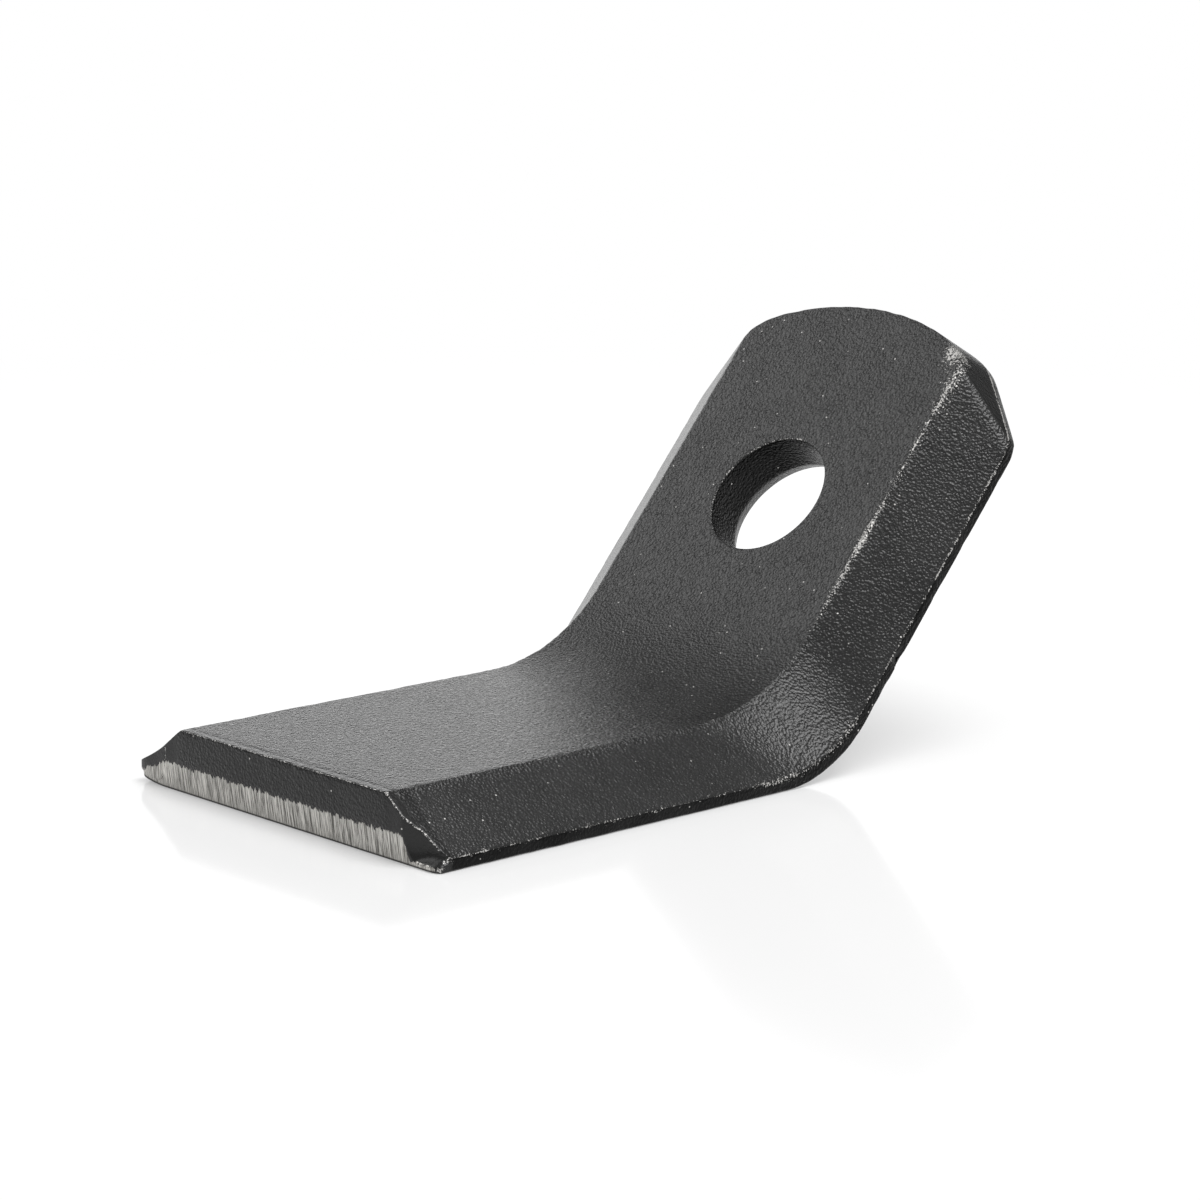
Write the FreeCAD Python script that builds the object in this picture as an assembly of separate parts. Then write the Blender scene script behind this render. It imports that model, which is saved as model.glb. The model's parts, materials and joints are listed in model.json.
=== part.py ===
"""Mulcher blade: one forged bar of trapezoid section, bent once, with a bolt hole and a ground cutting end.

The blade is drawn on the bench first: the cutting leg lies on its outer face, the cutting edge is at
y = 0, x runs across the width and the bolting leg rises at the back. It is then moved so that the
origin is the centre of the bolt hole, halfway through the plate.
"""
import FreeCAD, Part
import math
import os
from FreeCAD import Vector

# Bar section, mm
blade_width = 68.0
plate_thickness = 10.0
chamfer_run = 10.4
land_height = 2.0

# Bend, mm and degrees
cutting_leg_length = 81.5
bend_angle = 49.4
outer_bend_radius = 23.0
inner_bend_radius = 32.0

# Bolting leg, measured along the leg from the corner where the two outer faces would meet
hole_distance = 41.0
hole_diameter = 21.0
breakout_width = 1.3
breakout_depth = 2.5
crown_height = 78.2
crown_draft = 1.7
inner_crown_radius = 48.0
crown_radius_growth = 3.0
clip_angle = 46.0
clip_crown_radius = 9.0
flat_clip_length = 1.9
flat_corner_radius = 3.0
land_corner_radius = 5.0

# Cutting end
ground_height = 4.6
ground_rake = 0.7
facet_width = 54.6
ear_setback = 1.7
ear_side_run = 2.6
ear_sweep = 0.8
ear_floor_height = 0.6
ear_floor_rise = 1.0

# Softened edges
face_edge_radius = 0.9
land_edge_radius = 0.7
floor_edge_radius = 0.5

# Room that a cutting tool has past the faces it cuts
overrun = 2.0

half_width = blade_width / 2
flat_half_width = half_width - chamfer_run
angle = math.radians(bend_angle)
half_turn = math.tan(angle / 2)
clip = math.radians(clip_angle)

# The crown's arcs end where they leave room for the small clip and the corner beside the flat
flat_corner = flat_corner_radius * (1 - math.sin(clip)) + flat_clip_length * math.cos(clip)
arc_reach = flat_half_width - flat_corner - clip_crown_radius * math.sin(clip)
crown_turn = math.asin(arc_reach / (inner_crown_radius - clip_crown_radius))

# The bent bar is joined to its forged end between the bend and the clipped corners
joint = 0.4 * crown_height


def leg_vector(x, along, height):
    """Point on the bolting leg: along the leg from the outer corner, at a height above its outer face."""
    y = cutting_leg_length + along * math.cos(angle) - height * math.sin(angle)
    z = along * math.sin(angle) + height * math.cos(angle)
    return Vector(x, y, z)


def bend_radius(height):
    """The bend's radius grows evenly from the outer face to the inner face."""
    share = height / plate_thickness
    return outer_bend_radius + (inner_bend_radius - outer_bend_radius) * share


def long_curve(x, height, front, top):
    """Straight, arc, straight: one line along the whole blade at one height above the outer face."""
    radius = bend_radius(height)
    run = (height + radius) * half_turn
    arc_start = Vector(x, cutting_leg_length - run, height)
    centre = arc_start + Vector(0, 0, radius)
    arc_middle = centre + Vector(0, radius * math.sin(angle / 2), -radius * math.cos(angle / 2))
    arc_end = leg_vector(x, run, height)
    return [
        Part.makeLine(Vector(x, front, height), arc_start),
        Part.Arc(arc_start, arc_middle, arc_end).toShape(),
        Part.makeLine(arc_end, leg_vector(x, top, height)),
    ]


def long_wire(x, low, high, front, top):
    """Closed outline between two long curves at the same x."""
    lower = long_curve(x, low, front, top)
    upper = long_curve(x, high, front, top)
    end = Part.makeLine(leg_vector(x, top, low), leg_vector(x, top, high))
    start = Part.makeLine(Vector(x, front, low), Vector(x, front, high))
    return Part.Wire(lower + [end] + upper[::-1] + [start])


def bent_plate():
    """Full-width plate of even thickness on both legs and thicker in the bend."""
    outline = long_wire(-half_width, 0, plate_thickness, 0, joint)
    return Part.Face(outline).extrude(Vector(blade_width, 0, 0))


def chamfer_cutter():
    """What is taken off the plate's inner face on the +x side, between the flat and the land."""
    fall = (plate_thickness - land_height) / chamfer_run
    above = plate_thickness + overrun
    top = joint + overrun
    outside = half_width + land_height / (2 * fall)
    lowest = plate_thickness - fall * (outside - flat_half_width)
    inner = long_wire(flat_half_width, plate_thickness, above, -overrun, top)
    outer = long_wire(outside, lowest, above, -overrun, top)
    return Part.makeLoft([inner, outer], True, True)


def both_sides(shape):
    """A shape on the +x side and its mirror image."""
    return [shape, shape.mirror(Vector(0, 0, 0), Vector(1, 0, 0))]


def bent_bar():
    """The bar up to the joint: flat inner face, two chamfers, two narrow lands."""
    bar = bent_plate()
    for cutter in both_sides(chamfer_cutter()):
        bar = bar.cut(cutter)
    return bar


def outward(turn):
    """Direction on the bolting leg, turned from straight up the leg towards +x."""
    return Vector(math.sin(turn), math.cos(turn), 0)


def end_outline(half, top, radius, corner_radius, height):
    """The end's outline at one height, from one side's joint over the crown to the other side's joint.

    Its pieces are a side line, a corner arc, a clip line and a blend arc, the crown, and the same again.
    """
    crown_centre = Vector(0, top - radius, 0)
    crown_end = crown_centre + outward(crown_turn) * radius
    blend_centre = crown_end - outward(crown_turn) * clip_crown_radius
    blend_middle = blend_centre + outward((crown_turn + clip) / 2) * clip_crown_radius
    clip_high = blend_centre + outward(clip) * clip_crown_radius
    clip_run = half - corner_radius * (1 - math.sin(clip)) - clip_high.x
    clip_low = clip_high + Vector(clip_run, -clip_run * math.tan(clip), 0)
    corner_centre = clip_low - outward(clip) * corner_radius
    corner_middle = corner_centre + outward((math.pi / 2 + clip) / 2) * corner_radius
    side_high = corner_centre + Vector(corner_radius, 0, 0)
    side_low = Vector(half, joint, 0)
    points = [side_low, side_high, corner_middle, clip_low, clip_high, blend_middle, crown_end]
    right = [leg_vector(point.x, point.y, height) for point in points]
    left = [leg_vector(-point.x, point.y, height) for point in points]
    return [
        Part.makeLine(right[0], right[1]),
        Part.Arc(right[1], right[2], right[3]).toShape(),
        Part.makeLine(right[3], right[4]),
        Part.Arc(right[4], right[5], right[6]).toShape(),
        Part.Arc(right[6], leg_vector(0, top, height), left[6]).toShape(),
        Part.Arc(left[6], left[5], left[4]).toShape(),
        Part.makeLine(left[4], left[3]),
        Part.Arc(left[3], left[2], left[1]).toShape(),
        Part.makeLine(left[1], left[0]),
    ]


def land_outline(height):
    """Outline of the narrow upright land that runs round the whole end."""
    top = crown_height + crown_draft
    radius = inner_crown_radius + crown_radius_growth
    return end_outline(half_width, top, radius, land_corner_radius, height)


def flat_outline():
    """Outline of the flat inner face."""
    return end_outline(flat_half_width, crown_height, inner_crown_radius, flat_corner_radius, plate_thickness)


def closed(outline):
    """The outline as a wire, closed along the joint."""
    first = outline[0].valueAt(outline[0].FirstParameter)
    last = outline[-1].valueAt(outline[-1].LastParameter)
    return Part.Wire(outline + [Part.makeLine(last, first)])


def forged_end():
    """The end past the joint: a land all round, and above it a bevel that wraps round the clipped corners."""
    upwards = leg_vector(0, 0, land_height) - leg_vector(0, 0, 0)
    land = Part.Face(closed(land_outline(0))).extrude(upwards)
    bevel = Part.makeLoft([closed(land_outline(land_height)), closed(flat_outline())], True, True)
    return land.fuse(bevel)


def edges_near(shape, curves):
    """The shape's edges that lie along some curves."""
    found = []
    for curve in curves:
        middle = curve.valueAt((curve.FirstParameter + curve.LastParameter) / 2)
        spot = Part.Vertex(middle)
        nearest = min(shape.Edges, key=lambda edge: edge.distToShape(spot)[0])
        if not any(nearest.isSame(edge) for edge in found):
            found.append(nearest)
    return found


def soften(shape, half, height, outline, radius):
    """Round the edge that runs up one side of the blade, over the crown and down the other side."""
    curves = long_curve(half, height, 0, joint) + outline + long_curve(-half, height, 0, joint)
    return shape.makeFillet(radius, edges_near(shape, curves))


def bare_blade():
    """Bar and end in one piece, with all its long edges rounded."""
    shape = bent_bar().fuse(forged_end()).removeSplitter()
    shape = soften(shape, flat_half_width, plate_thickness, flat_outline(), face_edge_radius)
    shape = soften(shape, half_width, land_height, land_outline(land_height), land_edge_radius)
    shape = soften(shape, half_width, 0, land_outline(0), floor_edge_radius)
    return shape


def hole_cutter():
    """Bolt hole, punched from the inner face, with the wider mouth that the punch leaves outside."""
    into_plate = leg_vector(0, 0, 1) - leg_vector(0, 0, 0)
    mouth = leg_vector(0, hole_distance, 0)
    radius = hole_diameter / 2
    shaft = Part.makeCylinder(radius, plate_thickness + 2 * overrun, mouth - into_plate * overrun, into_plate)
    breakout = Part.makeCone(radius + breakout_width, radius, breakout_depth, mouth, into_plate)
    return shaft.fuse(breakout)


def across(points):
    """Prism over the whole width from an outline of (y, z) points."""
    outline = [Vector(-half_width - overrun, y, z) for y, z in points]
    face = Part.Face(Part.makePolygon(outline + outline[:1]))
    return face.extrude(Vector(blade_width + 2 * overrun, 0, 0))


def upright(points):
    """Prism over the whole height from an outline of (x, y) points."""
    outline = [Vector(x, y, -overrun) for x, y in points]
    face = Part.Face(Part.makePolygon(outline + outline[:1]))
    return face.extrude(Vector(0, 0, plate_thickness + 2 * overrun))


def grinding_cutter():
    """The ground strip along the cutting edge, raked back a little towards the edge."""
    slope = ground_rake / ground_height
    below = ground_rake + slope * overrun
    return across([(0, ground_height), (below, -overrun), (-overrun, -overrun), (-overrun, ground_height)])


def ear_cutter():
    """The +x corner beside the cutting facet, set back with sloping walls."""
    facet_edge = facet_width / 2
    wall_edge = facet_edge + ear_side_run
    sweep_slope = ear_sweep / (half_width - wall_edge)
    outside = half_width + overrun
    deepest = ear_setback + sweep_slope * (outside - wall_edge)
    high = plate_thickness + overrun
    plan = upright([
        (facet_edge, 0),
        (wall_edge, ear_setback),
        (outside, deepest),
        (outside, -overrun),
        (facet_edge, -overrun),
    ])
    floor_slope = ear_floor_rise / ear_setback
    side = across([
        (0, ear_floor_height),
        (deepest, ear_floor_height + floor_slope * deepest),
        (deepest, high),
        (-overrun, high),
        (-overrun, ear_floor_height),
    ])
    return plan.common(side)


def blade():
    """The finished blade, with the origin at the centre of its bolt hole."""
    shape = bare_blade()
    shape = shape.cut(hole_cutter())
    shape = shape.cut(grinding_cutter())
    for cutter in both_sides(ear_cutter()):
        shape = shape.cut(cutter)
    shape.translate(leg_vector(0, hole_distance, plate_thickness / 2) * -1)
    return shape.removeSplitter()


def main():
    os.makedirs("parts", exist_ok=True)
    shape = blade()
    print("solids", len(shape.Solids), "valid", shape.isValid(), "volume cm3", round(shape.Volume / 1000, 2))
    shape.exportStep("parts/blade.step")


main()
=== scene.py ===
# %% [markdown]
# A mulcher blade in black paint
#
# The real blade is one forged steel bar. The forge rolls a bar with a trapezoid section, shears it to
# length, punches the bolt hole, presses one bend into it, paints it black and grinds the cutting edge
# bare. This lesson follows the same order: a straight blank first, then the bend, then the finish.

import json
import math

import bmesh
import bpy
import numpy as np
from mathutils import Matrix, Vector, noise


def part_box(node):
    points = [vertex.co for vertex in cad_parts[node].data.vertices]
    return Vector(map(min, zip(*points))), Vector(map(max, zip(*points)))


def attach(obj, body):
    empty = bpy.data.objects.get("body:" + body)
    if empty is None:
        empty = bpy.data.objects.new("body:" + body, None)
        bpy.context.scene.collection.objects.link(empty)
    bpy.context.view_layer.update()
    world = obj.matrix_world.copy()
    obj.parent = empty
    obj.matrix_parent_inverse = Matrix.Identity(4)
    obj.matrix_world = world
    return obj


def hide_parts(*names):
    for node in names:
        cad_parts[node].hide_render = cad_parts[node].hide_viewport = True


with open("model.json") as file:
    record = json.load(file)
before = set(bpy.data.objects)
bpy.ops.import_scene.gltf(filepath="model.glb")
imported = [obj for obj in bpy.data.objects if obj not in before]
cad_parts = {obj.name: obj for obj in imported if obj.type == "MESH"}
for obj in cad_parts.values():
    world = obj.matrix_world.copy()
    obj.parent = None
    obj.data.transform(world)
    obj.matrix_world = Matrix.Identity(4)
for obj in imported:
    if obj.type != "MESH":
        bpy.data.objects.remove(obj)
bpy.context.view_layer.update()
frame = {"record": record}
low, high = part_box("blade")
print("blade box, mm:", [round(v * 1000, 2) for v in (*low, *high)])

# %% [markdown]
# Sizes of the bar
#
# Whatever the frame knows is read from it, so the mesh can't drift away from the CAD model: the width,
# the bolt hole, the plate's thickness and the bend's angle. The rest are the maker's sizes in
# millimetres. Everything is worked out in millimetres and goes to metres once, at the bend.

# %% Read the bar's sizes from the frame
mounts = {mount["name"]: mount for mount in frame["record"]["mounts"]}
half_width = high.x * 1000
hole_radius = mounts["bolt_hole"]["dims"]["r_mm"]
leg_normal = Vector(mounts["bolt_hole"]["axis"])
angle = math.atan2(-leg_normal.y, leg_normal.z)
thickness = 2000 * Vector(mounts["inner_seat"]["pos_m"]).project(leg_normal).length
hole_along = (-low.z * 1000 - thickness / 2 * math.cos(angle)) / math.sin(angle)
leg_length = -low.y * 1000 - hole_along * math.cos(angle) + thickness / 2 * math.sin(angle)
bench_to_part = Vector((0, low.y, low.z)) * 1000
print(f"width {2 * half_width:.1f}, thickness {thickness:.2f}, bend {math.degrees(angle):.2f} degrees")
print(f"cutting leg {leg_length:.2f}, bolt hole {hole_along:.2f} up the bolting leg")

# %% Name the section's other sizes
flat_half_width = 23.6
land_height = 2.0
chamfer_fall = (thickness - land_height) / (half_width - flat_half_width)


def section_top(x):
    """Height of the bar's inner side at x: a flat, two chamfers and a narrow land at each side."""
    return min(thickness, thickness - chamfer_fall * (abs(x) - flat_half_width))


print(f"the chamfers fall at {math.degrees(math.atan(chamfer_fall)):.1f} degrees")

# %% [markdown]
# The bend
#
# A press bends the straight bar round a former. The outer fibres stretch, the inner ones are squeezed,
# and the bar grows a little thicker in the bend. A Simple Deform modifier can bend a mesh, but only at
# one radius. A short function does it as the press does: each height in the bar has its own radius, and
# only the middle layer keeps its length. Because it moves points and nothing else, each point's place
# in the straight blank is still known afterwards, and the paint, the grain and the wear use that.

# %% Write the bend as a function of a point in the straight blank
outer_bend_radius = 23.0
inner_bend_radius = 32.0


def bend_run(height):
    """Radius at a height above the outer face, and the straight run from the corner to the arc's end."""
    radius = outer_bend_radius + (inner_bend_radius - outer_bend_radius) * height / thickness
    return radius, (height + radius) * math.tan(angle / 2)


middle_radius, middle_run = bend_run(thickness / 2)
blank_shift = leg_length - 2 * middle_run + middle_radius * angle


def bend(blank):
    """Blank points (x, distance along the bar, height) in millimetres to part points in metres."""
    x, along, height = blank.T
    radius, run = bend_run(height)
    start = leg_length - run
    stop = run + blank_shift
    turn = angle * np.clip((along - start) / (stop - start), 0, 1)
    before = np.minimum(along - start, 0)
    after = np.maximum(along - stop, 0)
    y = start + radius * np.sin(turn) + before + after * math.cos(angle)
    z = height + radius * (1 - np.cos(turn)) + after * math.sin(angle)
    return (np.column_stack((x, y, z)) + np.array(bench_to_part)) / 1000


hole_place = blank_shift + hole_along
hole_centre = bend(np.array([[0, hole_place, thickness / 2]])).round(6)
print(f"the hole's centre is {hole_place:.2f} along the blank")
print("and lands at", hole_centre, "which is the part's origin")

# %% [markdown]
# The two ends of the blank
#
# One end is a shallow crown with two clipped corners, so that the blade can swing past its holder. A
# narrow upright land runs round it, and above the land a bevel wraps round the corners. Its outline is
# written twice, at the land and at the flat, in pieces that match: side line, corner arc, clip line,
# blend arc and crown. A number from 0 to 5 then names a place on both outlines, and a straight line
# between the two places lies on the bevel. A Bevel modifier can't do this, because the bevel is wide at
# the side and steep at the crown.

# %% Write the crowned end's two outlines
crown_height = 78.05
crown_draft = 1.65
crown_radius = 48.0
land_crown_radius = 51.0
clip_angle = math.radians(46.0)
blend_radius = 9.0
flat_clip_length = 1.9
flat_corner_radius = 3.0
land_corner_radius = 5.0
end_start = 55.5
corner_share = flat_corner_radius * (1 - math.sin(clip_angle)) + flat_clip_length * math.cos(clip_angle)
arc_reach = flat_half_width - corner_share - blend_radius * math.sin(clip_angle)
crown_turn = math.asin(arc_reach / (crown_radius - blend_radius))


def outward(turn):
    """Direction on the leg, turned from straight up it towards +x."""
    return Vector((math.sin(turn), math.cos(turn)))


class EndOutline:
    """The end's outline at one height, on the +x side: a place on it has a number from 0 to 5."""

    def __init__(self, half, top, radius, corner_radius):
        self.half, self.radius, self.corner_radius = half, radius, corner_radius
        self.crown_centre = Vector((0, top - radius))
        self.blend_centre = self.crown_centre + outward(crown_turn) * (radius - blend_radius)
        self.clip_high = self.blend_centre + outward(clip_angle) * blend_radius
        run = half - corner_radius * (1 - math.sin(clip_angle)) - self.clip_high.x
        self.clip_low = self.clip_high + Vector((run, -run * math.tan(clip_angle)))
        self.corner_centre = self.clip_low - outward(clip_angle) * corner_radius

    def place(self, number):
        part = number % 1
        if number < 1:
            return Vector((self.half, end_start + (self.corner_centre.y - end_start) * part))
        if number < 2:
            turn = math.pi / 2 + (clip_angle - math.pi / 2) * part
            return self.corner_centre + outward(turn) * self.corner_radius
        if number < 3:
            return self.clip_low.lerp(self.clip_high, part)
        if number < 4:
            return self.blend_centre + outward(clip_angle + (crown_turn - clip_angle) * part) * blend_radius
        return self.crown_centre + outward(crown_turn * (5 - number)) * self.radius


flat_outline = EndOutline(flat_half_width, crown_height, crown_radius, flat_corner_radius)
land_outline = EndOutline(half_width, crown_height + crown_draft, land_crown_radius, land_corner_radius)
print(f"the crown's arcs turn {math.degrees(crown_turn):.1f} degrees each way")
for outline in (flat_outline, land_outline):
    print("outline:", [tuple(round(v, 2) for v in outline.place(number)) for number in range(6)])

# %% [markdown]
# The cutting end is sheared square, and a grinding wheel leans the foot of it back a little. Beside the
# facet each corner is set back as a small ear. On the left the step is much smaller than on the right.

# %% Write the cutting end
ground_height = 4.6
ground_rake = 0.7
facet_half_width = 27.3
ear_wall_x = 29.9
ear_setback = 1.7
ear_sweep = 0.8
ear_floor_height = 0.6
ear_floor_slope = 1.0 / 1.7
left_ear_part = 0.1
corner_round = 0.8
corner_round_width = 1.8
left_round_part = 0.3


def ear_depth(x):
    """How far the cutting end is set back at x: nothing on the facet, then a wall and a gentle sweep."""
    part = left_ear_part if x < 0 else 1
    x = abs(x)
    wall = np.interp(x, [facet_half_width, ear_wall_x], [0, ear_setback])
    return float(wall + np.interp(x, [ear_wall_x, half_width], [0, ear_sweep])) * part


def rake(height):
    return ground_rake * max(1 - height / ground_height, 0)


def cutting_end(x):
    """Seven points (along, height) up the cutting end at x, from the edge to the inner face."""
    top = section_top(x)
    depth = ear_depth(x)
    lip = ear_floor_height + ear_floor_slope * rake(ear_floor_height)
    line = ground_height if abs(x) <= facet_half_width else lip
    floor_back = ear_floor_height + ear_floor_slope * depth
    fourth = line + 0.6 if abs(x) <= facet_half_width else min(floor_back, top - 0.45)
    hold = top - min(0.55, 0.15 * top)
    heights = [0, 0.3, 0.62 * line, line, fourth, hold, top]
    setbacks = [rake(h) for h in heights[:4]] + [depth] * 3
    into_corner = max(abs(x) - half_width + corner_round_width, 0)
    rounding = corner_round * into_corner ** 2 / corner_round_width ** 2
    rounding *= left_round_part if x < 0 else 1
    return [(setback + rounding, h) for setback, h in zip(setbacks, heights)]


print("middle of the facet:", [tuple(round(v, 2) for v in point) for point in cutting_end(0)])
print("right ear:", [tuple(round(v, 2) for v in point) for point in cutting_end(half_width)])

# %% [markdown]
# The blank as a subdivision cage
#
# The blank could be cut with booleans and then bevelled, but bevels tear where three cuts meet, as they
# do at the ears. A coarse cage of four-sided faces is safer. It is a long box divided into columns across,
# stations along and rows up, and a subdivision surface rounds it. An edge stays crisp where a loop runs
# close beside it, so the distance of that loop sets the edge's radius. At the crowned end the chamfers'
# columns turn round the corners and run on as bands over the crown, as the bevel does.

# %% Choose the cage's columns, stations and rows
flat_columns = [3.6, 7.2, 10.85, 14.5, 18.6, 22.9, 23.2]
chamfer_columns = [23.6, 24.0, 26.7, 27.3, 28.5, 29.9, 31.4, 32.6, 33.4, 34.0]
half_columns = flat_columns + chamfer_columns
columns = [-x for x in half_columns[::-1]] + [0] + half_columns
bands = [(x - flat_half_width) / (half_width - flat_half_width) for x in chamfer_columns]
window = 14.5
window_steps = 8
leg_stations = [3.6, 5.5, 9, 14, 20, 26, 32, 38, 44, 50, 56, 60]
bend_stations = [62.2 + 2.7 * step for step in range(13)]
window_stations = [hole_place + window * (2 * step / window_steps - 1) for step in range(window_steps + 1)]
fixed = leg_stations + bend_stations + [98.2] + window_stations
end_numbers = [0.3, 0.6, 0.85, 1.0, 1.35, 1.7, 2.0, 2.25, 2.5]
crown_numbers = {23.6: 2.5, 23.2: 2.8, 22.9: 3.2, 18.6: 4.0, 14.5: 4.24, 10.85: 4.44}
crown_numbers.update({7.2: 4.63, 3.6: 4.82, 0: 5.0})
corner_station = 1 + len(fixed) + len(end_numbers)
last_station = corner_station + len(bands) - 1
first_flat = columns.index(-flat_half_width)
last_flat = columns.index(flat_half_width)
assert abs(fixed[-1] - blank_shift - end_start) < 0.01
print(len(columns), "columns and", last_station + 1, "stations")


# %% Place one point of the cage
def heights_under(top):
    """Seven heights up to the top, with holding rows near the outer face and near the inner one."""
    first = min(0.7, 0.24 * top)
    last = top - min(0.6, 0.24 * top)
    return [0, *np.linspace(first, last, 5), top]


def band_point(flat_place, land_place, band, row):
    """A point on the bevel, on the straight line between matching places, or below it."""
    reach = flat_place.lerp(land_place, band)
    height = heights_under(thickness + (land_height - thickness) * band)[row]
    return reach.x, blank_shift + reach.y, height


def end_point(x, row, station):
    """One point of the cage past the bolt hole, with x on the +x side."""
    if station > corner_station:
        number = crown_numbers[x]
        band = bands[station - corner_station]
        return band_point(flat_outline.place(number), land_outline.place(number), band, row)
    number = end_numbers[station - 2 - len(fixed)]
    flat_place = flat_outline.place(number)
    if x >= flat_half_width:
        band = (x - flat_half_width) / (half_width - flat_half_width)
        return band_point(flat_place, land_outline.place(number), band, row)
    corner = flat_outline.place(2.5)
    share = (flat_place.y - end_start) / (corner.y - end_start)
    end = flat_outline.place(crown_numbers[x])
    drawn_in = end.x - x * corner.x / flat_half_width
    across = x * flat_place.x / flat_half_width + drawn_in * share ** 2
    return across, blank_shift + end_start + (end.y - end_start) * share, heights_under(thickness)[row]


front_hold = 0.45


def cage_point(column, row, station):
    """One point of the cage in the straight blank."""
    x = columns[column]
    if station < 2:
        setback, height = cutting_end(x)[row]
        return x, setback + front_hold * station, height
    if station < 2 + len(fixed):
        return x, fixed[station - 2], heights_under(section_top(x))[row]
    reach, along, height = end_point(abs(x), row, station)
    return math.copysign(reach, x) if x else 0, along, height


print("the cage's left front corner:", [round(float(v), 2) for v in cage_point(0, 0, 0)])

# %% [markdown]
# The bolt hole
#
# The hole is punched from the inner face, so its mouth there is drawn in a little and the outer mouth is
# wider, where the slug broke away. A boolean would leave long thin faces round it. Instead a square
# window is left open in both faces, and rings of faces run from the window to the circle, down the wall
# and out to the other window. Equal steps round the circle keep the hole round under subdivision.

# %% List the hole's rings from the inner face to the outer one
around = 4 * window_steps
breakout_width = 1.3
breakout_depth = 2.5
limit_shrink = 1 - (1 - math.cos(2 * math.pi / around)) / 3
hole_rings = [
    (hole_radius + 2.2, thickness),
    (hole_radius + 0.55, thickness),
    (hole_radius, thickness),
    (hole_radius, thickness - 0.6),
    (hole_radius, thickness * 0.6),
    (hole_radius, breakout_depth + 0.7),
    (hole_radius, breakout_depth),
    (hole_radius + breakout_width * 0.35, breakout_depth * 0.65),
    (hole_radius + breakout_width * 0.8, breakout_depth * 0.2),
    (hole_radius + breakout_width, 0),
    (hole_radius + breakout_width + 0.7, 0),
    (hole_radius + breakout_width + 1.6, 0),
]


def window_path(first_column, first_station):
    """The cage's points round the window, anticlockwise from the middle of its +x side."""
    full, half = window_steps, window_steps // 2
    side = [(full, step) for step in range(half, full)] + [(full - step, full) for step in range(full)]
    side += [(0, full - step) for step in range(full)] + [(step, 0) for step in range(full)]
    side += [(full, step) for step in range(half)]
    return [(first_column + i, first_station + k) for i, k in side]


print(len(hole_rings), "rings of", around, "points")

# %% [markdown]
# The cage is made with bmesh, because neighbouring faces have to share their points. Each point is made
# the first time a face asks for it and kept under its column, row and station. Past the corners the
# flat's outer columns are the same points as the sides' own, and that closes the bevel there.

# %% Start the cage
cage = bmesh.new()
points = {}
top_row = 6
last_column = len(columns) - 1


def point(column, row, station):
    """The cage's point, made once."""
    if station > corner_station and column in (first_flat, last_flat):
        step = station - corner_station
        column, station = (column - step if column == first_flat else column + step), corner_station
    key = (column, row, station)
    if key not in points:
        points[key] = cage.verts.new(cage_point(*key))
    return points[key]


def face(corners):
    cage.faces.new([point(*corner) for corner in corners])


def square(first, second):
    """The four corners of one step in two directions."""
    return [(first, second), (first + 1, second), (first + 1, second + 1), (first, second + 1)]


# %% Lay the broad faces and both ends, and leave the window open
first_window_column = columns.index(-window)
first_window_station = 2 + fixed.index(window_stations[0])
open_columns = range(first_window_column, first_window_column + window_steps)
open_stations = range(first_window_station, first_window_station + window_steps)
for column in range(last_column):
    over_crown = first_flat <= column < last_flat
    for station in range(last_station if over_crown else corner_station):
        if column in open_columns and station in open_stations:
            continue
        for row in (0, top_row):
            face([(c, row, s) for c, s in square(column, station)])
    for row in range(top_row):
        for station in (0, last_station) if over_crown else (0,):
            face([(c, r, station) for c, r in square(column, row)])
print(len(cage.faces), "faces so far")

# %% Close the narrow sides
for station in range(corner_station):
    for row in range(top_row):
        for column in (0, last_column):
            face([(column, r, s) for r, s in square(row, station)])
print(len(cage.faces), "faces so far")

# %% Wall the bolt hole, from the window in the inner face to the one in the outer face
path = window_path(first_window_column, first_window_station)
rings = [[point(c, top_row, s) for c, s in path]]
for radius, height in hole_rings:
    ring = []
    for step in range(around):
        turn = 2 * math.pi * step / around
        reach = radius / limit_shrink
        place = (reach * math.cos(turn), hole_place + reach * math.sin(turn), height)
        ring.append(cage.verts.new(place))
    rings.append(ring)
rings.append([point(c, 0, s) for c, s in path])
for ring, next_ring in zip(rings, rings[1:]):
    for step in range(around):
        after = (step + 1) % around
        cage.faces.new((ring[step], ring[after], next_ring[after], next_ring[step]))
print(len(cage.faces), "faces in all")

# %% Turn the cage into a mesh
bmesh.ops.recalc_face_normals(cage, faces=cage.faces)
cage_mesh = bpy.data.meshes.new("blank cage")
cage.to_mesh(cage_mesh)
cage.free()
print("cage:", len(cage_mesh.vertices), "points,", len(cage_mesh.polygons), "faces")

# %% Subdivide the cage into the smooth blank
blade = bpy.data.objects.new("forged_blade", cage_mesh)
bpy.context.scene.collection.objects.link(blade)
smoother = blade.modifiers.new("round the edges", "SUBSURF")
smoother.levels = 2
smoother.render_levels = 2
depsgraph = bpy.context.evaluated_depsgraph_get()
mesh = bpy.data.meshes.new_from_object(blade.evaluated_get(depsgraph))
blade.modifiers.clear()
blade.data = mesh
print("blank:", len(mesh.vertices), "points,", len(mesh.polygons), "faces")


def read_points(mesh, field):
    values = np.empty(len(mesh.vertices) * 3)
    mesh.vertices.foreach_get(field, values)
    return values.reshape(-1, 3)


blank = read_points(mesh, "co")
normals = read_points(mesh, "normal")

# %% [markdown]
# Forge marks
#
# No forged face is dead flat and no worn edge is dead straight. The faces get shallow waves, the edges
# lose a little more here and there, and one small nick sits on the side of the bolting leg. All of that
# takes metal away, as wear does, so the blade stays inside its true size. Only the left ear's tip, which
# has been knocked, is lifted a little.

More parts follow.
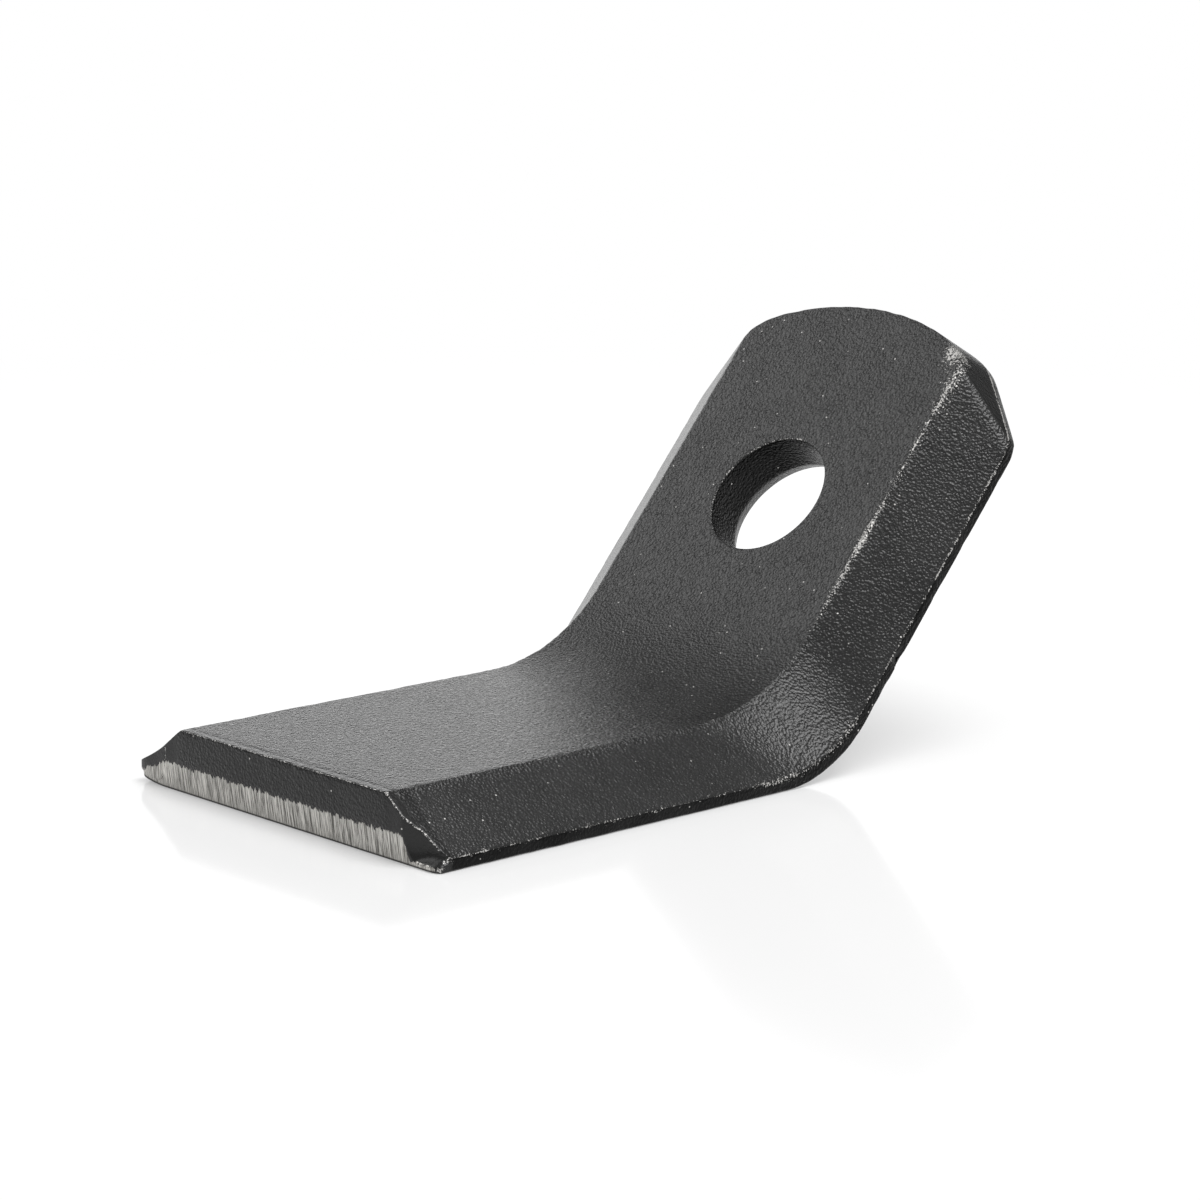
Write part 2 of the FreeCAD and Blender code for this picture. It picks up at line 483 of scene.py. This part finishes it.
# %% Name the blade's edges in the straight blank
def end_edge(outline, height, first, last):
    """Points along a stretch of the end's outline, on the +x side of the blank."""
    places = [outline.place(number) for number in np.linspace(first, last, 14)]
    return [(place.x, blank_shift + place.y, height) for place in places]


def distance_to_path(points, path):
    """Distance from each point to a path of straight pieces, and the share of the path passed there."""
    path = np.array(path, float)
    lengths = np.linalg.norm(np.diff(path, axis=0), axis=1)
    passed = np.concatenate(([0], np.cumsum(lengths)))
    best = np.full(len(points), np.inf)
    share = np.zeros(len(points))
    for start, way, length, before in zip(path, np.diff(path, axis=0), lengths, passed):
        part = np.clip((points - start) @ way / length ** 2, 0, 1)
        distance = np.linalg.norm(points - start - part[:, None] * way, axis=1)
        nearer = distance < best
        best[nearer] = distance[nearer]
        share[nearer] = ((before + part * length) / passed[-1])[nearer]
    return best, share


def mirrored(path):
    return [(-x, along, height) for x, along, height in path]


flat_side = [(flat_half_width, 0, thickness), (flat_half_width, blank_shift + end_start, thickness)]
flat_round = end_edge(flat_outline, thickness, 0, 5)
land_side = [(half_width, 2.5, land_height), (half_width, blank_shift + end_start, land_height)]
land_round = end_edge(land_outline, land_height, 0, 5)
foot_side = [(half_width, 1, 0), (half_width, blank_shift + end_start, 0)]
foot_round = end_edge(land_outline, 0, 0, 5)
front_edge = [(-flat_half_width, 0, thickness), (flat_half_width, 0, thickness)]
soft_paths = [front_edge]
for path in (flat_side, flat_round, land_side, land_round, foot_side, foot_round):
    soft_paths += [path, mirrored(path)]
edge_distance = np.min([distance_to_path(blank, path)[0] for path in soft_paths], axis=0)
print(f"{(edge_distance < 1).sum()} points lie within a millimetre of an edge")


# %% Wear the faces and the edges
def noise_at(points, scale, seed):
    """Smooth noise between about -1 and 1 at each point, with features of a given size."""
    offset = Vector((seed, 2 * seed, 3 * seed))
    return np.array([noise.noise(Vector(point) / scale + offset) for point in points])


wave_depth, wave_size, wave_seed = 0.07, 14.0, 11.3
ripple_depth, ripple_size, ripple_seed = 0.03, 4.0, 5.1
chip_depth, chip_size, chip_seed, chip_reach = 0.16, 1.7, 8.7, 0.6
seat_part = 0.3
waves = wave_depth * (noise_at(blank, wave_size, wave_seed) + 1) / 2
ripples = ripple_depth * (noise_at(blank, ripple_size, ripple_seed) + 1) / 2
near_edge = np.exp(-(edge_distance / chip_reach) ** 2)
chips = chip_depth * np.clip(noise_at(blank, chip_size, chip_seed) + 0.1, 0, 1) * near_edge
seat = np.hypot(blank[:, 0], blank[:, 1] - hole_place) < hole_radius + breakout_width + 2
loss = waves + ripples + chips
loss[seat] *= seat_part
print(f"metal lost: {loss.mean():.3f} mm on average, {loss.max():.3f} mm at most")

# %% Nick the side and lift the left ear's tip
nick_place = (half_width, blank_shift + 22.0, 0.6)
nick_depth, nick_radius = 0.5, 0.9
nick = nick_depth * np.exp(-(np.linalg.norm(blank - nick_place, axis=1) / nick_radius) ** 2)
worn = blank - normals * (loss + nick)[:, None]
worn[:, 0] = np.clip(worn[:, 0], -half_width, half_width)
worn[:, 2] = np.where(blank[:, 2] < 0.01, blank[:, 2], np.maximum(worn[:, 2], 0))
tip_width, tip_length = 6.0, 7.0
out_to_tip = np.clip((tip_width - half_width - blank[:, 0]) / tip_width, 0, 1)
left_tip = out_to_tip * np.clip(1 - blank[:, 1] / tip_length, 0, 1)
tip_lift = 0.8
tip_thicker = 0.35
worn[:, 2] += left_tip ** 2 * tip_lift + left_tip * tip_thicker * np.minimum(blank[:, 2], land_height)
print(f"{(nick > 0.1).sum()} points in the nick, {(left_tip > 0).sum()} on the lifted tip")

# %% Bend the blank
mesh.vertices.foreach_set("co", bend(worn).ravel())
mesh.polygons.foreach_set("use_smooth", [True] * len(mesh.polygons))
mesh.update()
highest = max(vertex.co.z for vertex in mesh.vertices)
print(f"the bent blade stands {(highest - low.z) * 1000:.2f} mm high")

# %% [markdown]
# Where the paint has gone
#
# Paint goes first from the edges and corners that are knocked. The mesh is fine enough near its edges to
# hold a number for that at each point, so a list of knocked edges and corners says how bare each is and
# how wide the bare patch spreads. The material later breaks these soft numbers up into specks.

# %% Give each point its wear
def knocked(path, strength, width, start_strength=None):
    """Wear along a path, which may grow from its start to its end."""
    distance, share = distance_to_path(blank, path)
    first = strength if start_strength is None else start_strength
    return (first + (strength - first) * share) * np.exp(-(distance / width) ** 2)


def dented(place, strength, width):
    return strength * np.exp(-(np.linalg.norm(blank - place, axis=1) / width) ** 2)


# %% List the knocked places
corner_place = flat_outline.place(2.5)
top_corner = (corner_place.x, blank_shift + corner_place.y, thickness)
bend_stop = blank_shift + bend_run(thickness)[1]
long_flat = [(flat_half_width, bend_stop, thickness), *end_edge(flat_outline, thickness, 0, 2.5)]
upper_flat = [(flat_half_width, hole_place - 4, thickness), *end_edge(flat_outline, thickness, 0, 2.5)]
low_flat = [(flat_half_width, bend_stop - 6, thickness), (flat_half_width, hole_place - 2, thickness)]
leg_land = [(half_width, 3, land_height), (half_width, 64, land_height)]
bend_land = [(half_width, 64, land_height), (half_width, 86, land_height)]
upper_land = [(half_width, 86, land_height), *end_edge(land_outline, land_height, 0, 3.4)]
slope_xs = [flat_half_width, facet_half_width, ear_wall_x, half_width]
front_slope = [(x, ear_depth(x), section_top(x)) for x in slope_xs]
slope_nick = flat_half_width + 1.9
left_step = [(-facet_half_width, 0, section_top(facet_half_width)), (-facet_half_width, 0, ground_height)]
rim_turns = np.radians(np.linspace(80, 215, 20))
rim_reach = hole_radius + 0.15
hole_rim = [(rim_reach * math.cos(t), hole_place + rim_reach * math.sin(t), thickness) for t in rim_turns]
# After a path come the wear at its end, its width in millimetres and, where it differs, the wear at its
# start. After a dent's place come its wear and its width.
wear_parts = [
    knocked(long_flat, 0.86, 0.34, 0.62),
    knocked(long_flat, 0.62, 1.2, 0.42),
    knocked(low_flat, 0.92, 0.9, 0.3),
    knocked(upper_flat, 0.66, 2.3, 0.12),
    dented(top_corner, 1.0, 1.6),
    dented(top_corner, 0.84, 4.2),
    knocked(end_edge(flat_outline, thickness, 2.5, 3.8), 0.35, 0.9, 0.7),
    knocked(leg_land, 0.66, 0.24, 0.74),
    knocked(leg_land, 0.42, 0.8, 0.42),
    knocked(bend_land, 0.72, 0.9, 0.6),
    knocked(bend_land, 0.80, 0.3, 0.74),
    knocked(upper_land, 0.94, 0.34, 0.66),
    dented((half_width, 2.6, land_height), 1.0, 0.9),
    dented((half_width, 1.2, 0.5), 0.85, 0.9),
    dented((flat_half_width, 0, thickness), 1.1, 0.7),
    dented((slope_nick, 0, section_top(slope_nick)), 0.95, 0.4),
    knocked(front_slope, 0.88, 0.3),
    knocked(front_edge, 0.8, 0.3),
    knocked(left_step, 0.7, 0.22),
    knocked(hole_rim, 0.68, 0.26),
    knocked(mirrored(flat_side), 0.45, 0.4),
    knocked(mirrored(land_side), 0.5, 0.35),
    knocked(foot_round, 0.5, 0.3),
]
wear = np.max(wear_parts, axis=0)
print(f"{(wear > 0.5).mean() * 100:.1f} % of the points are well worn")

# %% [markdown]
# The faces that stand upright, which are the hole's wall, the lands and the two ends, get painted shade:
# they mirror less than the rest, which stands in for the shade inside the hole and the dark that these
# faces show. A second number says how upright each point is, and the cutting end takes a fixed share of
# it. A third attribute keeps each point's place in the straight blank, so that grain and scratches follow
# the bend without stretching.

# %% Store the three attributes on the mesh
front_reach = 3.5
front_shade_part = 0.4
# Painted shade: upright faces and the cutting end get a share that makes them mirror almost nothing
upright_shade = np.clip((0.5 - np.abs(normals[:, 2])) / 0.3, 0, 1)
upright_shade[blank[:, 1] < front_reach] = front_shade_part
for name, kind, values in (
    ("wear", "FLOAT", wear),
    ("upright_shade", "FLOAT", upright_shade),
    ("blank", "FLOAT_VECTOR", blank.ravel()),
):
    attribute = mesh.attributes.new(name, kind, "POINT")
    attribute.data.foreach_set("value" if kind == "FLOAT" else "vector", values)
print(f"{(upright_shade > 0.5).mean() * 100:.1f} % of the points are dull")


# %% [markdown]
# Tools for the material
#
# A material is a graph of nodes. A few small helpers keep the graph readable: one adds a node, one does
# arithmetic, and one makes noise at a size given in millimetres of the straight blank.

# %% Write the node helpers
class Graph:
    """Short ways to add nodes to one material or to the world."""

    def __init__(self, material):
        material.use_nodes = True
        self.tree = material.node_tree
        self.shader = self.tree.nodes.get("Principled BSDF")
        self.output = self.tree.nodes.get("Material Output")

    def node(self, kind, inputs=None, **settings):
        made = self.tree.nodes.new(kind)
        for name, value in settings.items():
            setattr(made, name, value)
        for name, value in (inputs or {}).items():
            self.feed(made.inputs[name], value)
        return made

    def feed(self, socket, value):
        if isinstance(value, bpy.types.NodeSocket):
            self.tree.links.new(value, socket)
        else:
            socket.default_value = value

    def math(self, operation, *values, clamp=False):
        made = self.node("ShaderNodeMath", operation=operation, use_clamp=clamp)
        for socket, value in zip(made.inputs, values):
            self.feed(socket, value)
        return made.outputs[0]

    def ramp(self, value, start, stop, low=0.0, high=1.0):
        """Smooth step from low to high as the value goes from start to stop."""
        inputs = {"Value": value, "From Min": start, "From Max": stop, "To Min": low, "To Max": high}
        return self.node("ShaderNodeMapRange", inputs, interpolation_type="SMOOTHSTEP").outputs[0]

    def stretched(self, place, size):
        """The place divided by a size in millimetres along x, along the bar and up."""
        inputs = {0: place, 1: [1 / length for length in size]}
        return self.node("ShaderNodeVectorMath", inputs, operation="MULTIPLY").outputs[0]

    def noise(self, place, size, detail=2.0, rough=0.5, distortion=0.0):
        inputs = {
            "Vector": self.stretched(place, size),
            "Scale": 1.0,
            "Detail": detail,
            "Roughness": rough,
            "Distortion": distortion,
        }
        return self.node("ShaderNodeTexNoise", inputs).outputs[0]

    def mix(self, share, first, second):
        made = self.node("ShaderNodeMix", data_type="RGBA")
        self.feed(made.inputs[0], share)
        self.feed(made.inputs[6], first)
        self.feed(made.inputs[7], second)
        return made.outputs[2]

    def mix_value(self, share, first, second):
        made = self.node("ShaderNodeMix", data_type="FLOAT")
        self.feed(made.inputs[0], share)
        self.feed(made.inputs[2], first)
        self.feed(made.inputs[3], second)
        return made.outputs[0]


# %% [markdown]
# Black paint over steel, with a bare ground edge
#
# The paint is a thick satin black that dried with a leathery grain, about half a millimetre from hill to
# hill. A photograph of the grain would repeat and would carry its own light, so the grain is made from
# cells for the hills and two noises that crumple them. Two other finishes show through the paint. On
# knocked edges there are bright specks of steel. On the foot of the cutting end the paint was ground
# off, and the wheel left upright scratches and a ragged line where it ran out.

# %% Make the paint's grain
blade_finish = bpy.data.materials.new("painted_steel")
graph = Graph(blade_finish)
place = graph.node("ShaderNodeAttribute", attribute_name="blank").outputs["Vector"]
split = graph.node("ShaderNodeSeparateXYZ", {"Vector": place})
across, along, up = split.outputs

grain_size = 0.42
cells = graph.node(
    "ShaderNodeTexVoronoi",
    {
        "Vector": graph.stretched(place, [grain_size] * 3),
        "Scale": 1.0,
        "Smoothness": 0.55,
        "Randomness": 1.0,
    },
    feature="SMOOTH_F1",
).outputs["Distance"]
wrinkle_size = 0.55
fine_size = 0.18
wrinkle = graph.noise(place, [wrinkle_size] * 3, 1.5, 0.5, 0.6)
fine = graph.noise(place, [fine_size] * 3, 1.0)
cell_part, wrinkle_part, fine_part = 0.7, 0.6, 0.12
hills = graph.math("MULTIPLY", cells, cell_part)
grain = graph.math("ADD", hills, graph.math("MULTIPLY", wrinkle, wrinkle_part))
grain = graph.math("ADD", grain, graph.math("MULTIPLY", fine, fine_part))
print("grain:", len(graph.tree.nodes), "nodes")

# %% Chip the paint where it is worn, and scatter a little dust
wear_value = graph.node("ShaderNodeAttribute", attribute_name="wear").outputs["Fac"]
speck_size = 0.3
patch_size = 3.2
dust_spacing = 1.7
speck_noise = graph.noise(place, [speck_size] * 3, 2.0, 0.6)
patch_noise = graph.noise(place, [patch_size] * 3, 2.0, 0.5)
patchy = graph.math("MULTIPLY", wear_value, graph.ramp(patch_noise, 0.38, 0.62, 0.78, 1.08))
sound_level, worn_drop = 0.86, 0.5
speck_level = graph.math("SUBTRACT", sound_level, graph.math("MULTIPLY", patchy, worn_drop))
worn_through = graph.ramp(graph.math("SUBTRACT", speck_noise, speck_level), -0.03, 0.03)

dust = graph.node(
    "ShaderNodeTexVoronoi",
    {"Vector": graph.stretched(place, [dust_spacing] * 3), "Scale": 1.0, "Randomness": 1.0},
    feature="F1",
)
dust_pick = graph.node("ShaderNodeSeparateXYZ", {"Vector": dust.outputs["Color"]}).outputs[0]
spot_core, spot_rim = 0.055, 0.10
left_out = 0.66
dust_near = graph.ramp(dust.outputs["Distance"], spot_core, spot_rim, 1.0, 0.0)
dust_spots = graph.math("MULTIPLY", dust_near, graph.math("GREATER_THAN", dust_pick, left_out))
chipped = graph.math("MAXIMUM", worn_through, dust_spots)
print("with chips and dust:", len(graph.tree.nodes), "nodes")

# %% Draw the ground strip's ragged upper line
right_end_height = 1.25
left_end_height = 0.9
tooth = graph.noise(place, [0.55, 30.0, 2.5], 2.0, 0.6)
line_start, line_stop = facet_half_width - 0.5, facet_half_width + 1.1
right_line = graph.ramp(across, line_start, line_stop, ground_height, right_end_height)
left_inputs = {
    "Value": across,
    "From Min": -half_width,
    "From Max": -facet_half_width,
    "To Min": left_end_height,
    "To Max": ground_height,
}
left_line = graph.node("ShaderNodeMapRange", left_inputs).outputs[0]
line_height = graph.math("MINIMUM", right_line, left_line)
tooth_middle, tooth_height = 0.62, 2.2
teeth = graph.math("MULTIPLY", graph.math("SUBTRACT", tooth, tooth_middle), tooth_height)
ragged = graph.math("ADD", line_height, teeth)
below_line = graph.ramp(graph.math("SUBTRACT", ragged, up), -0.06, 0.06)
end_depth = 2.2
on_cutting_end = graph.math("LESS_THAN", along, end_depth)
facing_front = graph.math("MULTIPLY", on_cutting_end, below_line)
rake_slope = 0.15
wheel_reach = 0.98
behind_wheel = graph.math("ADD", along, graph.math("MULTIPLY", up, rake_slope))
ground = graph.math("MULTIPLY", facing_front, graph.math("LESS_THAN", behind_wheel, wheel_reach))
print("with the ground strip:", len(graph.tree.nodes), "nodes")

# %% Colour the three finishes
paint_dark = (0.009, 0.009, 0.009, 1)
paint_light = (0.017, 0.017, 0.017, 1)
steel_bright = (0.68, 0.665, 0.63, 1)
steel_dull = (0.115, 0.11, 0.10, 1)
# Painted shade: a dark colour for the thin contact shadow along the blade's foot
contact_shade = (0.03, 0.029, 0.027, 1)
chip_colour = (0.60, 0.59, 0.57, 1)

drift_size = 9.0
drift = graph.noise(place, [drift_size] * 3, 4.0, 0.6)
paint = graph.mix(graph.ramp(drift, 0.3, 0.7), paint_dark, paint_light)
scratch = graph.noise(place, [0.13, 8.0, 5.5], 3.0, 0.7)
steel = graph.mix(graph.ramp(scratch, 0.43, 0.57), steel_dull, steel_bright)
# Painted shade: the lowest half millimetre of the ground strip is darkened as a contact shadow
steel = graph.mix(graph.ramp(up, 0.22, 0.5, 1.0, 0.0), steel, contact_shade)
coloured = graph.mix(chipped, paint, chip_colour)
coloured = graph.mix(ground, coloured, steel)
graph.feed(graph.shader.inputs["Base Color"], coloured)
print("with the colours:", len(graph.tree.nodes), "nodes")

# %% [markdown]
# The shader's own specular level can't follow a pattern, because an exported model would lose it. The
# painted shade on upright faces is made in another way: black with a high metallic share mirrors almost
# nothing, since a metal takes the strength of its reflection from its colour.

# %% Set the metal, the painted shade on upright faces and the roughness
chip_metal = 0.4
ground_metal = 0.75
shade_film_metal = 0.93
# Painted shade: black with a high metallic share darkens the upright faces and the cutting end
painted_shade = graph.node("ShaderNodeAttribute", attribute_name="upright_shade").outputs["Fac"]
bare_metal = [graph.math("MULTIPLY", chipped, chip_metal), graph.math("MULTIPLY", ground, ground_metal)]
metal = graph.math("MAXIMUM", *bare_metal)
unchipped = graph.math("SUBTRACT", shade_film_metal, chipped, clamp=True)
metal = graph.math("MAXIMUM", metal, graph.math("MULTIPLY", painted_shade, unchipped))
graph.feed(graph.shader.inputs["Metallic"], metal)
bare_roughness = 0.42
paint_roughness = graph.ramp(wrinkle, 0.3, 0.7, 0.22, 0.30)
roughness = graph.mix_value(graph.math("MAXIMUM", chipped, ground), paint_roughness, bare_roughness)
graph.feed(graph.shader.inputs["Roughness"], roughness)
print("with metal and roughness:", len(graph.tree.nodes), "nodes")

# %% [markdown]
# The grain isn't equally deep. It is coarse on the flat of the cutting leg, plain on the bolting leg and
# shallow on the chamfers and the cutting facet. The ground strip has fine scratches instead.

# %% Turn the grain and the scratches into bumps
grain_height = 0.00015
scratch_height = 0.00003
chamfer_share = graph.ramp(graph.math("ABSOLUTE", across), flat_half_width - 0.5, flat_half_width + 1.5)
cutting_share = graph.ramp(along, leg_length - 26, leg_length - 12, 1.0, 0.0)
cutting_flat, cutting_chamfer = 2.2, 0.6
bolting_flat, bolting_chamfer = 1.4, 0.8
facet_part = 0.3
on_cutting_leg = graph.mix_value(chamfer_share, cutting_flat, cutting_chamfer)
on_bolting_leg = graph.mix_value(chamfer_share, bolting_flat, bolting_chamfer)
coarseness = graph.mix_value(cutting_share, on_bolting_leg, on_cutting_leg)
behind_facet = graph.ramp(along, 1.2, 2.6, facet_part, 1.0)
coarseness = graph.math("MULTIPLY", coarseness, behind_facet)
painted_relief = graph.math("MULTIPLY", graph.math("MULTIPLY", grain, coarseness), grain_height)
bare_relief = graph.math("MULTIPLY", scratch, scratch_height)
relief = graph.mix_value(ground, painted_relief, bare_relief)
bump = graph.node("ShaderNodeBump", {"Height": relief, "Strength": 1.0, "Distance": 1.0})
graph.feed(graph.shader.inputs["Normal"], bump.outputs["Normal"])
mesh.materials.clear()
mesh.materials.append(blade_finish)
print("finish:", len(graph.tree.nodes), "nodes")

# %% [markdown]
# The frame knows the blade as one node on one body. The finished mesh rides on that body, takes the place
# of the plain solid and carries the paint's slot, so that a later user can repaint it.

# %% Put the blade on its body
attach(blade, "root")
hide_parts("blade")
print(blade.name, "has", sum(len(polygon.vertices) - 2 for polygon in mesh.polygons), "triangles")

# %% [markdown]
# The white board
#
# The blade lies on a glossy white board. The board could be lit until it is white to its far edge, but
# then the blade would be lit too much. It glows white by itself far from the blade, and only for the
# camera and for reflections. Near the blade it is mostly a plain board that takes its shadow.

# %% Lay the floor
floor_size = 6.0
floor_mesh = bpy.data.meshes.new("floor")
corner = floor_size / 2
floor_corners = [(-corner, -corner), (corner, -corner), (corner, corner), (-corner, corner)]
floor_mesh.from_pydata([(x, y, low.z) for x, y in floor_corners], [], [(0, 1, 2, 3)])
floor = bpy.data.objects.new("floor", floor_mesh)
bpy.context.scene.collection.objects.link(floor)
print(f"the board is {floor_size} m square and lies at {low.z * 1000:.2f} mm")

# %% Finish the board
floor_finish = bpy.data.materials.new("white board")
board = Graph(floor_finish)
board_white = 0.93
board.feed(board.shader.inputs["Base Color"], (board_white, board_white, board_white, 1))
board.feed(board.shader.inputs["Roughness"], 0.12)
board.feed(board.shader.inputs["Specular IOR Level"], 0.12)


def seen_directly(graph):
    """1 for rays that the eye follows: straight from the camera, in a reflection or through glass."""
    paths = graph.node("ShaderNodeLightPath").outputs
    mirrored_rays = graph.math("MAXIMUM", paths["Is Camera Ray"], paths["Is Glossy Ray"])
    return graph.math("MAXIMUM", mirrored_rays, paths["Is Transmission Ray"])


near_blade, clear_of_blade = 0.10, 0.42
glow_near_blade = 0.3
spot = board.node("ShaderNodeNewGeometry").outputs["Position"]
far_off = board.node("ShaderNodeVectorMath", {0: spot}, operation="LENGTH").outputs["Value"]
glowing = board.ramp(far_off, near_blade, clear_of_blade, glow_near_blade, 1.0)
white_share = board.math("MULTIPLY", glowing, seen_directly(board))
glow = board.node("ShaderNodeEmission", {"Color": (1, 1, 1, 1), "Strength": 1.0})
shown = board.node("ShaderNodeMixShader", {0: white_share, 1: board.shader.outputs[0], 2: glow.outputs[0]})
board.feed(board.output.inputs["Surface"], shown.outputs[0])
floor_mesh.materials.append(floor_finish)
print("board:", len(board.tree.nodes), "nodes")

# %% [markdown]
# The room
#
# Black satin paint shows mostly what it mirrors, so the room matters more than the lamp. The light that it
# sends is even and pale. In reflections its walls are a middle grey with some patches, as the cards and
# dark gaps of a studio are: a bright low wall that the cutting leg's flat mirrors at a low angle, a bright
# card for the bolting leg, and dark gaps that keep the bend, the facet and the clipped corner dark. The
# patches could be real cards on stands, but those would also light and shade the blade.

# %% Set the room's walls, cards and dark gaps
world = bpy.data.worlds.new("white room")
bpy.context.scene.world = world
room = Graph(world)
room_light = 0.6
wall_glow = 0.47
direction = room.node("ShaderNodeTexCoord").outputs["Generated"]
rise = room.node("ShaderNodeSeparateXYZ", {"Vector": direction}).outputs["Z"]


def towards(aim, start, stop):
    """0 to 1 as the direction comes round to an aim."""
    inputs = {0: direction, 1: Vector(aim).normalized()}
    near = room.node("ShaderNodeVectorMath", inputs, operation="DOT_PRODUCT")
    return room.ramp(near.outputs["Value"], start, stop)


low_wall_glow = 1.52
# A patch has its aim, the cosines at its edge and at its heart, and its brightness
patches = [
    ("card for the bolting leg", (-0.70, -0.31, 0.64), 0.84, 0.96, 1.85),
    ("gap behind the clipped corner", (-0.13, 0.95, 0.26), 0.84, 0.94, 0.25),
    ("gap before the facet", (-0.69, -0.72, 0.0), 0.88, 0.97, 0.15),
    ("gap over the bend", (-0.70, 0.28, 0.66), 0.92, 0.98, 0.18),
]
below_ceiling = room.ramp(rise, 0.5, 0.7, 1.0, 0.0)
low_wall = room.math("MULTIPLY", towards((-0.85, 0.52, 0), 0.70, 0.86), below_ceiling)
mirrored_room = room.mix_value(low_wall, wall_glow, low_wall_glow)
for name, aim, edge, heart, brightness in patches:
    mirrored_room = room.mix_value(towards(aim, edge, heart), mirrored_room, brightness)
    print(f"{name}: brightness {brightness}")

# %% Send each kind of ray its own room
lit = room.mix_value(seen_directly(room), room_light, mirrored_room)
strength = room.mix_value(room.node("ShaderNodeLightPath").outputs["Is Camera Ray"], lit, 1.0)
backdrop = room.tree.nodes["Background"]
room.feed(backdrop.inputs["Color"], (1, 1, 1, 1))
room.feed(backdrop.inputs["Strength"], strength)
print("room:", len(room.tree.nodes), "nodes")

# %% [markdown]
# One soft box hangs overhead, a little to the right. It lights the blade's upper sides evenly and gives
# the soft shadow under the raised leg.

# %% Hang the soft box
middle = Vector((0, -0.04, -0.01))
box_place = Vector((0.34, 0.12, 1.15))
lamp = bpy.data.lights.new("overhead box", "AREA")
lamp.size = 0.7
lamp.energy = 9.0
lamp_object = bpy.data.objects.new("overhead box", lamp)
lamp_object.location = box_place
lamp_object.rotation_euler = (middle - box_place).to_track_quat("-Z", "Y").to_euler()
bpy.context.scene.collection.objects.link(lamp_object)
print(f"the soft box hangs {(box_place - middle).length:.2f} m from the blade")

# %% [markdown]
# The camera
#
# The camera looks down a little from the front right with a long lens, as a product photographer would
# to keep the blade's edges nearly parallel. It is turned by a degree, as the picture is.

# %% Set up the camera
camera_azimuth = math.radians(46.16)
camera_height = math.radians(12.0)
camera_roll = math.radians(0.98)
camera_distance = 0.58547
camera_aim = Vector((0.00041, -0.04110, -0.00922))
camera_data = bpy.data.cameras.new("camera")
camera_data.sensor_width = 36.0
camera_data.lens = 113.36
camera_data.clip_start = 0.01
camera = bpy.data.objects.new("camera", camera_data)
bpy.context.scene.collection.objects.link(camera)
bpy.context.scene.camera = camera
right = Vector((math.cos(camera_azimuth), math.sin(camera_azimuth), 0))
back = Vector((
    math.sin(camera_azimuth) * math.cos(camera_height),
    -math.cos(camera_azimuth) * math.cos(camera_height),
    math.sin(camera_height),
))
above = back.cross(right)
turned_right = right * math.cos(camera_roll) + above * math.sin(camera_roll)
turned_up = above * math.cos(camera_roll) - right * math.sin(camera_roll)
turn = Matrix((turned_right, turned_up, back)).transposed().to_4x4()
camera.matrix_world = Matrix.Translation(camera_aim + back * camera_distance) @ turn
print("camera at", [round(v, 3) for v in camera.matrix_world.translation])

# %% [markdown]
# Last, the view transform is set to Standard. The visual blade has to stay inside the CAD blade's box.

# %% Finish
bpy.context.scene.view_settings.view_transform = "Standard"
bpy.context.view_layer.update()
